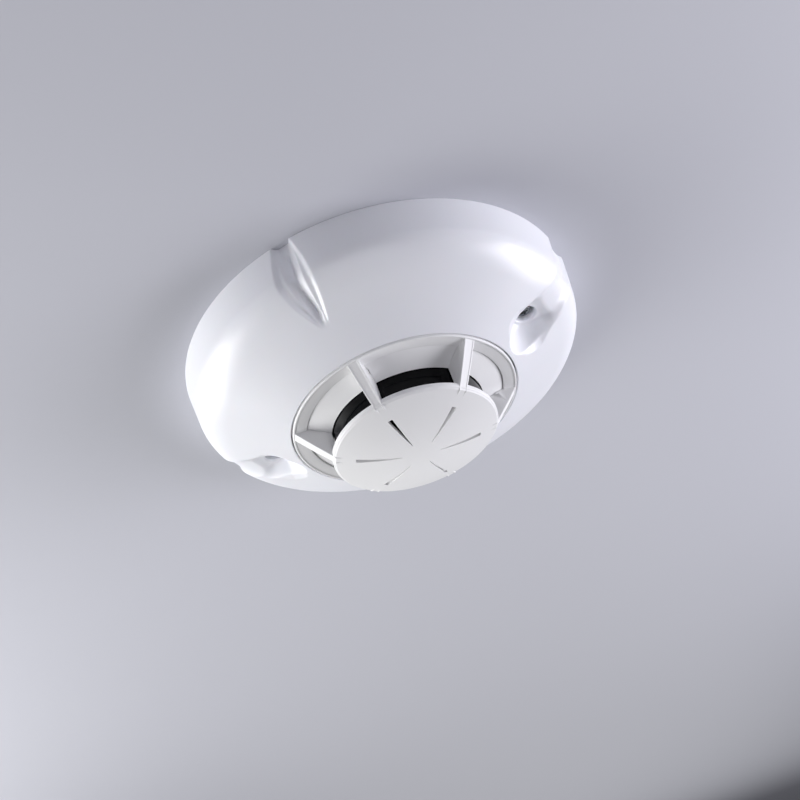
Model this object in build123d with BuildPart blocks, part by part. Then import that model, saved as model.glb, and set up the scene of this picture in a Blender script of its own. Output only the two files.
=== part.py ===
from build123d import *
from math import acos, degrees
import os

# Heat detector: a plug-in sensing head in a terminal socket, inside a wide domed base cover.
# Millimetres. The wall face is z = 0, +Z runs out of the wall towards the cap, and the origin is
# the centre of the wall face. -Y is the side of the plain grip groove, +/-X the screw pockets.

# Base cover, its outer line from the rim up the skirt and over the shoulder to the flat cone
RIM_R = 80.0
SKIRT_TOP = (78.4, 12.9)
SHOULDER = (77.7, 18.7)
FACE_START = (68.0, 23.5)
FACE_SLOPE = 0.5
COVER_WALL = 3.2
OPENING_R = 45.75
COLLAR_R = 48.6
COLLAR_Z = 27.5
OPEN_TOP = 40.0

# Grooves in the cover: one at the rim under each screw pocket, and the two-layer grip grooves
RIM_GROOVE_AT = 76.0
RIM_GROOVE_L = 16.0
RIM_GROOVE_W = 5.6
RIM_GROOVE_DEPTH = 1.8
GRIP_OUTER = [(3.6, 82), (3.6, 79), (6.8, 73.5), (6.6, 71), (0, 59.5)]
GRIP_OUTER_DEPTH = 0.9
GRIP_INNER = [(3.2, 82), (3.2, 72), (0, 61)]
GRIP_INNER_DEPTH = 2.2

# Cover screws and their pockets
SCREW_X = 58.0
POCKET_FLOOR = 21.0
POCKET_WALL = 2.2
FLOOR_END_R = 53.2
FLOOR_HALF = 6.2
MOUTH_X = 76.0
MOUTH_HALF = 2.4
BRIM_Z = 33.0
BRIM_END_R = 49.8
BRIM_HALF = 16.5
BRIM_MOUTH_HALF = 12.0
WELL_R = 4.2
SEAT_Z = 17.0
BOSS_R = 6.8
BOSS_Z = 12.3
SHANK_R = 2.0
SHANK_HOLE_R = 2.3
THREAD_GAP = 0.08
SCREW_TIP_Z = 7.8
SCREW_TIP_BEVEL = 0.5
SCREW_HEAD_R = 3.0
SCREW_HEAD_H = 2.3
SCREW_HEAD_ROUND = 0.9
RECESS_L = 3.2
RECESS_W = 0.8
RECESS_DEPTH = 1.3
WASHER_R = 3.85
WASHER_T = 0.6

# Mounting plate, its posts, ribs and cable collar
PLATE_R = 76.0
PLATE_T = 3.0
PLATE_ROUND = 0.6
CABLE_R = 10.0
CABLE_COLLAR_R = 14.0
CABLE_COLLAR_IN_R = 12.4
CABLE_COLLAR_H = 4.0
WALL_HOLE_Y = 60.0
WALL_HOLE_R = 2.25
POST_TOP = 12.0
POST_R = 4.2
POST_PILOT_R = 1.55
POST_PILOT_DEPTH = 7.0
SPOKE_ANGLES = (22.5, 112.5, 157.5, 202.5, 247.5, 292.5, 337.5)
SPOKE_AT = 43.0
SPOKE_L = 56.0
SPOKE_T = 1.6
INSERT_R = 3.2
INSERT_Z = 6.0
INSERT_GAP = 0.03
GASKET_R = 74.2
GASKET_IN_R = 72.2
GASKET_T = 1.6

# Socket: a flanged ring with four bayonet hooks, each between two stops
SOCKET_IN_R = 23.5
SOCKET_OUT_R = 47.5
SOCKET_WALL_R = 45.6
SOCKET_T = 2.5
SOCKET_TOP = 25.8
SOCKET_FLOOR = POST_TOP + SOCKET_T
SOCKET_POST_R = 39.0
SOCKET_HOLE_R = 1.7
HOOK_ANGLES = (20, 110, 200, 290)
HOOK_IN_R = 43.5
HOOK_Z = 24.0
HOOK_HALF_DEG = 8.0
STOP_IN_R = 43.9
STOP_Z = 20.5
STOP_OFFSETS = (-9.8, 29.8)
STOP_HALF_DEG = 1.3
ROOT = 0.2

# Socket hardware
SOCKET_SCREW_R = 1.5
SOCKET_SCREW_Z = 6.0
PAN_R = 2.8
PAN_H = 1.9
CONTACT_R = 34.0
CONTACT_ANGLES = (45, 135, 225, 315)
SPRING_AT = 29.5
SPRING_PAD = (11.0, 7.0)
SPRING_T = 0.8
SPRING_HALF_W = 1.5
SPRING_GAP = 0.9
SPRING_HALF_DEG = 5.5
SPRING_H = 4.6
TERMINAL_R = 27.5
TERMINAL_HOLE_R = 1.85
TERMINAL_SCREW_R = 1.75
TERMINAL_SCREW_L = 4.4
TERMINAL_HEAD_Z = SOCKET_FLOOR + 2.1
TERMINAL_SLOT = (4.6, 0.7)
CLAMP = 6.0
CLAMP_Z = SOCKET_FLOOR + 0.9
CLAMP_T = 1.1

# Isolator board beside the socket, on a plane whose x axis points away from the head's axis
BASE_BOARD_AT = 61.0
BASE_BOARD_DEG = 45
BASE_BOARD_Z = 6.0
BASE_BOARD_SIZE = (20.0, 34.0)
BOARD_T = 1.6
BASE_TOP = BASE_BOARD_Z + BOARD_T
STANDOFFS = ((6.5, 13.5), (-6.5, -13.5))
STANDOFF_R = 2.8
STANDOFF_PILOT_R = 1.3
BOARD_SCREW_R = 1.25
BOARD_SCREW_L = 4.0
BOARD_SCREW_HEAD_R = 2.3
BOARD_HOLE_R = 1.4
BLOCK_AT = (-5, 4)
BLOCK_SIZE = (8.0, 20.0, 8.0)
BLOCK_WAYS = 4
BLOCK_PITCH = 5.0
BLOCK_HOLE_R = 1.6
BLOCK_HOLE_DEPTH = 5.0
WIRE_MOUTH = (4.0, 2.6)
WIRE_MOUTH_AT = (-8, 4)
WIRE_MOUTH_Z = BASE_TOP + 1.6
BLOCK_SCREW_R = 1.45
BLOCK_SCREW_Z = BASE_TOP + 5.0
BLOCK_SCREW_H = 2.2
RELAY_AT = (4, -3)
RELAY_SIZE = (7.5, 13.0, 6.0)
BASE_CAN_AT = (4, 7)
BASE_CAN_R = 2.5
BASE_CAN_H = 6.0
WIRE_R = 0.8
WIRE_LANE_Z = 8.6
WIRE_RUNS = ((-3.5, 45), (6.5, 135))

# Head: ring, housing, deck, drum and cap
HEAD_R = 45.3
RING_IN_R = 39.8
RING_TOP = 35.0
RING_UNDER = 33.2
RING_ROUND = 0.8
SKIRT_IN_R = 43.3
SKIRT_Z = 27.0
HOUSING_R = 43.0
HOUSING_IN_R = 40.6
HOUSING_Z = 21.4
HOUSING_FLOOR = 23.4
HOUSING_TOP = 33.0
LUG_R = 45.1
LUG_Z = 21.6
LUG_T = 2.0
LUG_HALF_DEG = 7.0
SLIT_HALF = 0.55
SLIT_HALF_DEG = 3.2
SEAL_Z = 30.0
SEAL_R = 0.78
SEAL_AT = 42.45
SEAL_GROOVE = (2.8, 1.8)
PILLAR_AT = 36.4
PILLAR_R = 2.2
PILLAR_Z = HOUSING_FLOOR + 0.1
PILLAR_COUNT = 3
PILLAR_PILOT_R = 1.25
PILLAR_PILOT_DEPTH = 8.0
DECK_OUT_R = 39.5
DECK_IN_R = 30.7
DECK_SLOPE = 0.389
DECK_EDGE_Z = 34.2
DECK_T = 1.7
DECK_LIP_R = 40.3
DECK_FOOT_R = 38.3
DECK_FOOT_Z = 31.6
DRUM_R = 30.3
DRUM_WALL = 1.6
DRUM_TOP = 46.0
DRUM_ROUND = 0.6
BEAD_HOLE_R = 2.2
CAP_R = 33.0
CAP_TOP = 54.8
CAP_ARC_R = 94.2
CAP_T = 2.3
CAP_ROUND = 0.8
RIB_COUNT = 6
RIB_START = 30
RIB_TIP_R = 28.6
RIB_HALF_IN = 1.75
RIB_HALF_OUT = 2.3
SLOT_IN_R = 7.6
SLOT_OUT_R = 24.6
SLOT_W = 2.0
LIGHT_R = 24.4
LIGHT_SLOT_OUT_R = 22.5
LIGHT_SLOT_W = 0.8
LIGHT_WINDOW = (2.8, 2.2)
LIGHT_HOLE_R = 1.6

# Head electronics and contacts
BOARD_Z = 27.0
BOARD_R = 33.5
HEAD_TOP = BOARD_Z + BOARD_T
BOARD_POST_AT = 28.0
BOARD_NOTCH = (3.4, 5.0)
DRUM_FOOT_Z = HEAD_TOP + 0.1
BLADE_Z = 17.4
BLADE_HALF = 0.4
BLADE_HALF_DEG = 6.0
TANG_HALF_DEG = 3.0
TANG_H = 4.4
HEAD_SCREW_R = 1.2
HEAD_SCREW_L = 8.0
HEAD_SCREW_HEAD_R = 2.3
HEAD_SCREW_HEAD_H = 1.5
LABEL_R = 17.0
LABEL_T = 0.2
LEAD_R = 0.3
LEAD_PITCH = 2.5
LEAD_Z = BOARD_Z + 0.2
LEAD_L = 21.0
BEAD_R = 1.9
BEAD_Z = 49.2
CHIP_AT = (0, 12)
CHIP_SIZE = (9.0, 9.0, 1.5)
HEAD_CANS = ((-14, -8), (-14, 2), (14, -8))
HEAD_CAN_R = 3.15
HEAD_CAN_H = 7.0
RESISTOR_AT = (13, 4)
RESISTOR_SIZE = (2.0, 1.2, 0.6)
RESISTOR_PITCH = (3.2, 3.0)
LED_SIZE = (3.0, 2.0, 1.2)
GUIDE_HALF = (0.6, 0.95)
GUIDE_Z = HEAD_TOP + 1.6
GUIDE_SINK = 0.5

os.makedirs("parts", exist_ok=True)


def save(builder, name):
    """Label one finished sub-part and write it as its own STEP file."""
    builder.part.label = name
    export_step(builder.part, f"parts/{name}.step")


def cap_z(r):
    """Height of the cap's domed top at radius r."""
    return CAP_TOP - CAP_ARC_R + (CAP_ARC_R**2 - r**2) ** 0.5


def deck_z(r):
    """Height of the vent deck's conical top at radius r."""
    return DECK_EDGE_Z + DECK_SLOPE * (DECK_OUT_R - r)


def face_z(r):
    """Height of the cover's straight conical face at radius r."""
    return FACE_START[1] + FACE_SLOPE * (FACE_START[0] - r)


def at_screws(height):
    """Places of the two cover screws, at that height."""
    return (SCREW_X, 0, height), (-SCREW_X, 0, height)


def board_plane(height):
    """Plane on the middle of the isolator board at that height, its x axis pointing outwards."""
    middle = Vector(BASE_BOARD_AT, 0, height).rotate(Axis.Z, BASE_BOARD_DEG)
    return Plane(origin=middle, x_dir=Vector(1, 0, 0).rotate(Axis.Z, BASE_BOARD_DEG), z_dir=(0, 0, 1))


def ring_sketch(r_out, r_in):
    """Annulus in the sketch that is open."""
    Circle(r_out)
    Circle(r_in, mode=Mode.SUBTRACT)


def cross_sketch(length, width):
    """Cross recess of a screw, in the sketch that is open."""
    Rectangle(length, width)
    Rectangle(width, length)


def sector_sketch(r_out, r_in, centre_deg, half_deg):
    """Annular sector in the sketch that is open, for lugs, hooks and contacts that turn."""
    start = centre_deg - half_deg
    with BuildLine() as outline:
        CenterArc((0, 0), r_out, start, 2 * half_deg)
        CenterArc((0, 0), r_in, start, 2 * half_deg)
        for angle in (start, start + 2 * half_deg):
            turn = Vector(1, 0).rotate(Axis.Z, angle)
            Line(turn * r_in, turn * r_out)
    make_face(outline.edges())


# ---- Base cover ------------------------------------------------------------------------------

def cover_outline(inset):
    """Line of the cover from below the rim to the opening, moved inwards by inset."""
    drop = inset * (1 + FACE_SLOPE**2) ** 0.5
    rim_r = RIM_R - inset
    skirt = (SKIRT_TOP[0] - inset, SKIRT_TOP[1])
    corner = (SHOULDER[0] - inset, SHOULDER[1] - drop / 1.6)
    face = (FACE_START[0] - inset / 2, FACE_START[1] + FACE_SLOPE * inset / 2 - drop)
    inner_z = face_z(OPENING_R) - drop
    Polyline((0, -1), (rim_r, -1), (rim_r, 0), skirt)
    Bezier(skirt, corner, face)
    Line(face, (OPENING_R, inner_z))
    return inner_z


def cover_blank(inset):
    """Solid dome inside the cover's outer line, moved inwards by inset."""
    with BuildPart() as blank:
        with BuildSketch(Plane.XZ):
            with BuildLine():
                top_z = cover_outline(inset)
                Polyline((OPENING_R, top_z), (0, top_z), (0, -1))
            make_face()
        revolve(axis=Axis.Z)
    return blank


def grip_layer(half_outline, depth):
    """Cutter for one layer of both grip grooves, from half its plan outline and its depth."""
    core = cover_blank(depth)
    other_half = [(-x, y) for x, y in reversed(half_outline[:-1])]
    with BuildPart() as cutter:
        with BuildSketch():
            with BuildLine():
                Polyline(*half_outline, *other_half, close=True)
            make_face()
            mirror(about=Plane.XZ)
        extrude(amount=OPEN_TOP)
        add(core.part, mode=Mode.SUBTRACT)
    return cutter


rim_groove_core = cover_blank(RIM_GROOVE_DEPTH)
with BuildPart() as rim_grooves:
    with BuildSketch():
        with Locations((RIM_GROOVE_AT, 0), (-RIM_GROOVE_AT, 0)):
            Rectangle(RIM_GROOVE_L, RIM_GROOVE_W)
    extrude(amount=OPEN_TOP)
    add(rim_groove_core.part, mode=Mode.SUBTRACT)

grip_outer = grip_layer(GRIP_OUTER, GRIP_OUTER_DEPTH)
grip_inner = grip_layer(GRIP_INNER, GRIP_INNER_DEPTH)


def pocket_sketch(inner_r, half_width, half_mouth):
    """Teardrop outline on +X, rounded behind the screw and narrowing to a mouth near the rim."""
    with BuildLine() as outline:
        Polyline(
            (SCREW_X, half_width), (MOUTH_X, half_mouth), (MOUTH_X, -half_mouth),
            (SCREW_X, -half_width),
        )
        ThreePointArc((SCREW_X, -half_width), (inner_r, 0), (SCREW_X, half_width))
    make_face(outline.edges())


with BuildPart() as pocket_space:
    with BuildSketch(Plane.XY.offset(POCKET_FLOOR)):
        pocket_sketch(FLOOR_END_R, FLOOR_HALF, MOUTH_HALF)
    with BuildSketch(Plane.XY.offset(BRIM_Z)):
        pocket_sketch(BRIM_END_R, BRIM_HALF, BRIM_MOUTH_HALF)
    loft()
    mirror(about=Plane.YZ)

with BuildPart() as pocket_walls:
    with BuildSketch(Plane.XY.offset(POCKET_FLOOR - POCKET_WALL)):
        pocket_sketch(FLOOR_END_R - POCKET_WALL, FLOOR_HALF + POCKET_WALL, MOUTH_HALF + POCKET_WALL)
    with BuildSketch(Plane.XY.offset(BRIM_Z)):
        pocket_sketch(BRIM_END_R - POCKET_WALL, BRIM_HALF + POCKET_WALL, BRIM_MOUTH_HALF)
    loft()
    mirror(about=Plane.YZ)

with BuildPart() as cover_hollow:
    with BuildSketch(Plane.XZ):
        with BuildLine():
            hollow_z = cover_outline(COVER_WALL)
            collar_top = hollow_z - FACE_SLOPE * (COLLAR_R - OPENING_R)
            Polyline((OPENING_R, hollow_z), (OPENING_R, OPEN_TOP), (0, OPEN_TOP), (0, -1))
        make_face()
        with BuildLine():
            Polyline(
                (OPENING_R, COLLAR_Z), (COLLAR_R, COLLAR_Z), (COLLAR_R, collar_top),
                (OPENING_R, hollow_z), close=True,
            )
        make_face(mode=Mode.SUBTRACT)
    revolve(axis=Axis.Z)
    add(pocket_walls.part, mode=Mode.SUBTRACT)

cover_solid = cover_blank(0)
with BuildPart() as dome_cover:
    add(cover_solid.part)
    with BuildSketch():
        Circle(RIM_R + 2)
    extrude(amount=-1, mode=Mode.SUBTRACT)
    add(pocket_space.part, mode=Mode.SUBTRACT)
    add(cover_hollow.part, mode=Mode.SUBTRACT)
    with BuildSketch(Plane.XY.offset(BOSS_Z)):
        with Locations((SCREW_X, 0), (-SCREW_X, 0)):
            Circle(BOSS_R)
    extrude(amount=POCKET_FLOOR - BOSS_Z)
    with Locations(*at_screws(POCKET_FLOOR)):
        CounterBoreHole(SHANK_HOLE_R, WELL_R, POCKET_FLOOR - SEAT_Z, POCKET_FLOOR - BOSS_Z)
    for cutter in (rim_grooves, grip_outer, grip_inner):
        add(cutter.part, mode=Mode.SUBTRACT)
save(dome_cover, "dome_cover")


# ---- Cover screws ----------------------------------------------------------------------------

def cover_screw(x):
    """Pan-head cover screw with a cross recess, resting on its washer."""
    head_z = SEAT_Z + WASHER_T
    with BuildPart() as screw:
        with BuildSketch(Plane.XY.offset(SCREW_TIP_Z)):
            with Locations((x, 0)):
                Circle(SHANK_R)
        extrude(amount=head_z - SCREW_TIP_Z)
        chamfer(screw.edges().group_by(Axis.Z)[0], SCREW_TIP_BEVEL)
        with BuildSketch(Plane.XY.offset(head_z)):
            with Locations((x, 0)):
                Circle(SCREW_HEAD_R)
        extrude(amount=SCREW_HEAD_H)
        fillet(screw.edges().group_by(Axis.Z)[-1], SCREW_HEAD_ROUND)
        with BuildSketch(Plane.XY.offset(head_z + SCREW_HEAD_H)):
            with Locations((x, 0)):
                cross_sketch(RECESS_L, RECESS_W)
        extrude(amount=-RECESS_DEPTH, mode=Mode.SUBTRACT)
    return screw


def cover_washer(x):
    """Flat steel washer under a cover screw's head."""
    with BuildPart() as washer:
        with BuildSketch(Plane.XY.offset(SEAT_Z)):
            with Locations((x, 0)):
                ring_sketch(WASHER_R, SHANK_R + THREAD_GAP)
        extrude(amount=WASHER_T)
    return washer


for side, side_x in (("left", -SCREW_X), ("right", SCREW_X)):
    save(cover_screw(side_x), f"cover_screw_{side}")
    save(cover_washer(side_x), f"screw_washer_{side}")


# ---- Mounting plate and what stands on it ------------------------------------------------------

with BuildPart() as mounting_plate:
    with BuildSketch():
        ring_sketch(PLATE_R, CABLE_R)
    extrude(amount=PLATE_T)
    fillet(mounting_plate.edges().group_by(Axis.Z)[-1].sort_by(SortBy.RADIUS)[-1], PLATE_ROUND)
    with BuildSketch(Plane.XY.offset(PLATE_T)):
        with Locations((SCREW_X, 0), (-SCREW_X, 0)):
            Circle(BOSS_R)
        with PolarLocations(SOCKET_POST_R, 4):
            Circle(POST_R)
    extrude(amount=POST_TOP - PLATE_T)
    with BuildSketch(board_plane(PLATE_T)):
        with Locations(*STANDOFFS):
            Circle(STANDOFF_R)
    extrude(amount=BASE_BOARD_Z - PLATE_T)
    with BuildSketch(Plane.XY.offset(PLATE_T)):
        for spoke in SPOKE_ANGLES:
            with PolarLocations(SPOKE_AT, 1, start_angle=spoke):
                Rectangle(SPOKE_L, SPOKE_T)
    extrude(amount=BASE_BOARD_Z - PLATE_T)
    with BuildSketch(Plane.XY.offset(PLATE_T)):
        ring_sketch(CABLE_COLLAR_R, CABLE_COLLAR_IN_R)
    extrude(amount=CABLE_COLLAR_H)
    with Locations((0, WALL_HOLE_Y, PLATE_T), (0, -WALL_HOLE_Y, PLATE_T)):
        Hole(WALL_HOLE_R, PLATE_T)
    with Locations(*at_screws(POST_TOP)):
        Hole(INSERT_R + INSERT_GAP, POST_TOP - INSERT_Z + 1)
    with Locations(Plane.XY.offset(POST_TOP)):
        with PolarLocations(SOCKET_POST_R, 4):
            Hole(POST_PILOT_R, POST_PILOT_DEPTH)
    with Locations(board_plane(BASE_BOARD_Z)):
        with Locations(*STANDOFFS):
            Hole(STANDOFF_PILOT_R, BOARD_SCREW_L + 1)
save(mounting_plate, "mounting_plate")

with BuildPart() as cover_inserts:
    with BuildSketch(Plane.XY.offset(INSERT_Z)):
        with Locations((SCREW_X, 0), (-SCREW_X, 0)):
            ring_sketch(INSERT_R, SHANK_R + THREAD_GAP)
    extrude(amount=POST_TOP - INSERT_Z)
save(cover_inserts, "cover_inserts")

with BuildPart() as edge_gasket:
    with BuildSketch(Plane.XY.offset(PLATE_T)):
        ring_sketch(GASKET_R, GASKET_IN_R)
    extrude(amount=GASKET_T)
save(edge_gasket, "edge_gasket")


# ---- Socket and its terminals ------------------------------------------------------------------

with BuildPart() as socket_body:
    with BuildSketch(Plane.XY.offset(POST_TOP)):
        ring_sketch(SOCKET_OUT_R, SOCKET_IN_R)
    extrude(amount=SOCKET_T)
    with BuildSketch(Plane.XY.offset(SOCKET_FLOOR)):
        ring_sketch(SOCKET_OUT_R, SOCKET_WALL_R)
    extrude(amount=SOCKET_TOP - SOCKET_FLOOR)
    with BuildSketch(Plane.XY.offset(HOOK_Z)):
        for hook in HOOK_ANGLES:
            sector_sketch(SOCKET_WALL_R + ROOT, HOOK_IN_R, hook, HOOK_HALF_DEG)
    extrude(amount=SOCKET_TOP - HOOK_Z)
    with BuildSketch(Plane.XY.offset(STOP_Z)):
        for hook in HOOK_ANGLES:
            for offset in STOP_OFFSETS:
                sector_sketch(SOCKET_WALL_R + ROOT, STOP_IN_R, hook + offset, STOP_HALF_DEG)
    extrude(amount=SOCKET_TOP - STOP_Z)
    with Locations(Plane.XY.offset(SOCKET_FLOOR)):
        with PolarLocations(SOCKET_POST_R, 4):
            Hole(SOCKET_HOLE_R, SOCKET_T)
        with PolarLocations(TERMINAL_R, 4, start_angle=CONTACT_ANGLES[0]):
            Hole(TERMINAL_HOLE_R, SOCKET_T)
save(socket_body, "socket_body")

with BuildPart() as socket_screws:
    with BuildSketch(Plane.XY.offset(SOCKET_SCREW_Z)):
        with PolarLocations(SOCKET_POST_R, 4):
            Circle(SOCKET_SCREW_R)
    extrude(amount=SOCKET_FLOOR - SOCKET_SCREW_Z)
    with BuildSketch(Plane.XY.offset(SOCKET_FLOOR)):
        with PolarLocations(SOCKET_POST_R, 4):
            Circle(PAN_R)
    extrude(amount=PAN_H)
    with BuildSketch(Plane.XY.offset(SOCKET_FLOOR + PAN_H)):
        with PolarLocations(SOCKET_POST_R, 4):
            cross_sketch(3, 0.7)
    extrude(amount=-1, mode=Mode.SUBTRACT)
save(socket_screws, "socket_screws")

with BuildPart() as contact_springs:
    with BuildSketch(Plane.XY.offset(SOCKET_FLOOR)):
        with PolarLocations(SPRING_AT, 4, start_angle=CONTACT_ANGLES[0]):
            Rectangle(*SPRING_PAD)
        with PolarLocations(TERMINAL_R, 4, start_angle=CONTACT_ANGLES[0]):
            Circle(TERMINAL_HOLE_R, mode=Mode.SUBTRACT)
    extrude(amount=SPRING_T)
    with BuildSketch(Plane.XY.offset(SOCKET_FLOOR)):
        for angle in CONTACT_ANGLES:
            sector_sketch(CONTACT_R + SPRING_HALF_W, CONTACT_R - SPRING_HALF_W, angle, SPRING_HALF_DEG)
    extrude(amount=SPRING_T)
    with BuildSketch(Plane.XY.offset(SOCKET_FLOOR + SPRING_T)):
        for angle in CONTACT_ANGLES:
            sector_sketch(CONTACT_R + SPRING_HALF_W, CONTACT_R + SPRING_GAP, angle, SPRING_HALF_DEG)
            sector_sketch(CONTACT_R - SPRING_GAP, CONTACT_R - SPRING_HALF_W, angle, SPRING_HALF_DEG)
    extrude(amount=SPRING_H)
save(contact_springs, "contact_springs")

with BuildPart() as terminal_clamps:
    with BuildSketch(Plane.XY.offset(CLAMP_Z)):
        with PolarLocations(TERMINAL_R, 4, start_angle=CONTACT_ANGLES[0]):
            Rectangle(CLAMP, CLAMP)
            Circle(TERMINAL_HOLE_R, mode=Mode.SUBTRACT)
    extrude(amount=CLAMP_T)
    chamfer(terminal_clamps.edges().filter_by(Axis.Z).filter_by(GeomType.LINE), 0.6)
save(terminal_clamps, "terminal_clamps")

with BuildPart() as terminal_screws:
    with BuildSketch(Plane.XY.offset(POST_TOP + 0.2)):
        with PolarLocations(TERMINAL_R, 4, start_angle=CONTACT_ANGLES[0]):
            Circle(TERMINAL_SCREW_R)
    extrude(amount=TERMINAL_SCREW_L)
    with BuildSketch(Plane.XY.offset(TERMINAL_HEAD_Z)):
        with PolarLocations(TERMINAL_R, 4, start_angle=CONTACT_ANGLES[0]):
            Circle(PAN_R)
    extrude(amount=PAN_H)
    with BuildSketch(Plane.XY.offset(TERMINAL_HEAD_Z + PAN_H)):
        with PolarLocations(TERMINAL_R, 4, start_angle=CONTACT_ANGLES[0]):
            Rectangle(*TERMINAL_SLOT)
    extrude(amount=-0.9, mode=Mode.SUBTRACT)
save(terminal_screws, "terminal_screws")


# ---- Isolator board beside the socket ------------------------------------------------------------

with BuildPart() as base_board:
    with BuildSketch(board_plane(BASE_BOARD_Z)):
        RectangleRounded(*BASE_BOARD_SIZE, 1.5)
        with Locations(*STANDOFFS):
            Circle(BOARD_HOLE_R, mode=Mode.SUBTRACT)
    extrude(amount=BOARD_T)
save(base_board, "base_board")

with BuildPart() as board_screws:
    with BuildSketch(board_plane(BASE_BOARD_Z - BOARD_SCREW_L)):
        with Locations(*STANDOFFS):
            Circle(BOARD_SCREW_R)
    extrude(amount=BOARD_SCREW_L + BOARD_T)
    with BuildSketch(board_plane(BASE_TOP)):
        with Locations(*STANDOFFS):
            Circle(BOARD_SCREW_HEAD_R)
    extrude(amount=1.6)
save(board_screws, "board_screws")

with BuildPart() as terminal_block:
    with BuildSketch(board_plane(BASE_TOP)):
        with Locations(BLOCK_AT):
            Rectangle(*BLOCK_SIZE[:2])
    extrude(amount=BLOCK_SIZE[2])
    with Locations(board_plane(BASE_TOP + BLOCK_SIZE[2])):
        with Locations(BLOCK_AT):
            with GridLocations(1, BLOCK_PITCH, 1, BLOCK_WAYS):
                Hole(BLOCK_HOLE_R, BLOCK_HOLE_DEPTH)
    with BuildSketch(board_plane(WIRE_MOUTH_Z)):
        with Locations(WIRE_MOUTH_AT):
            with GridLocations(1, BLOCK_PITCH, 1, BLOCK_WAYS):
                Rectangle(*WIRE_MOUTH)
    extrude(amount=WIRE_MOUTH[1], mode=Mode.SUBTRACT)
save(terminal_block, "terminal_block")

with BuildPart() as block_screws:
    with BuildSketch(board_plane(BLOCK_SCREW_Z)):
        with Locations(BLOCK_AT):
            with GridLocations(1, BLOCK_PITCH, 1, BLOCK_WAYS):
                Circle(BLOCK_SCREW_R)
    extrude(amount=BLOCK_SCREW_H)
save(block_screws, "block_screws")

with BuildPart() as isolator_relay:
    with BuildSketch(board_plane(BASE_TOP)):
        with Locations(RELAY_AT):
            Rectangle(*RELAY_SIZE[:2])
    extrude(amount=RELAY_SIZE[2])
    fillet(isolator_relay.edges().group_by(Axis.Z)[-1], 0.4)
save(isolator_relay, "isolator_relay")

with BuildPart() as base_capacitor:
    with BuildSketch(board_plane(BASE_TOP)):
        with Locations(BASE_CAN_AT):
            Circle(BASE_CAN_R)
    extrude(amount=BASE_CAN_H)
    fillet(base_capacitor.edges().group_by(Axis.Z)[-1], 0.4)
save(base_capacitor, "base_capacitor")


# ---- Sensing head: shells -------------------------------------------------------------------------

with BuildPart() as head_rib:
    with BuildSketch(Plane.XZ):
        with BuildLine():
            Polyline(
                (HEAD_R - 0.9, RING_UNDER + 0.6), (HEAD_R - 0.9, RING_TOP + 0.6),
                (CAP_R + 0.3, 48.0), (CAP_R - 0.9, cap_z(CAP_R - 0.9) + 0.5),
                (RIB_TIP_R, cap_z(RIB_TIP_R) - 0.1), (RIB_TIP_R, cap_z(RIB_TIP_R) - 1.2),
                (DECK_IN_R + 0.1, cap_z(DECK_IN_R) - 1.6),
                (DECK_IN_R + 0.1, deck_z(DECK_IN_R) + 0.1),
                (RING_IN_R - 0.1, deck_z(RING_IN_R) + 0.2), (RING_IN_R - 0.1, RING_UNDER + 0.6),
                close=True,
            )
        make_face()
    extrude(amount=4, both=True)
    with BuildSketch():
        with BuildLine():
            Polyline(
                (28, -RIB_HALF_IN), (46, -RIB_HALF_OUT), (46, RIB_HALF_OUT), (28, RIB_HALF_IN),
                close=True,
            )
        make_face()
    extrude(amount=60, mode=Mode.INTERSECT)

with BuildPart() as cap_slot:
    with BuildSketch(Plane.XY.offset(OPEN_TOP)):
        with BuildLine():
            Polyline(
                (SLOT_IN_R, 0), (SLOT_OUT_R, SLOT_W / 2), (SLOT_OUT_R + 0.5, 0),
                (SLOT_OUT_R, -SLOT_W / 2), close=True,
            )
        make_face()
    extrude(amount=20)

with BuildPart() as light_slot:
    with BuildSketch(Plane.XY.offset(OPEN_TOP)):
        with BuildLine():
            Polyline(
                (SLOT_IN_R, 0), (LIGHT_SLOT_OUT_R, LIGHT_SLOT_W / 2),
                (LIGHT_SLOT_OUT_R, -LIGHT_SLOT_W / 2), close=True,
            )
        make_face()
        window_l, window_w = LIGHT_WINDOW
        with Locations((LIGHT_R, 0)):
            Polygon(
                (-window_l / 2, 0), (0, window_w / 2), (window_l / 2, 0), (0, -window_w / 2),
                align=None,
            )
    extrude(amount=20)

cap_edge_deg = degrees(acos(CAP_R / CAP_ARC_R))

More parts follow.
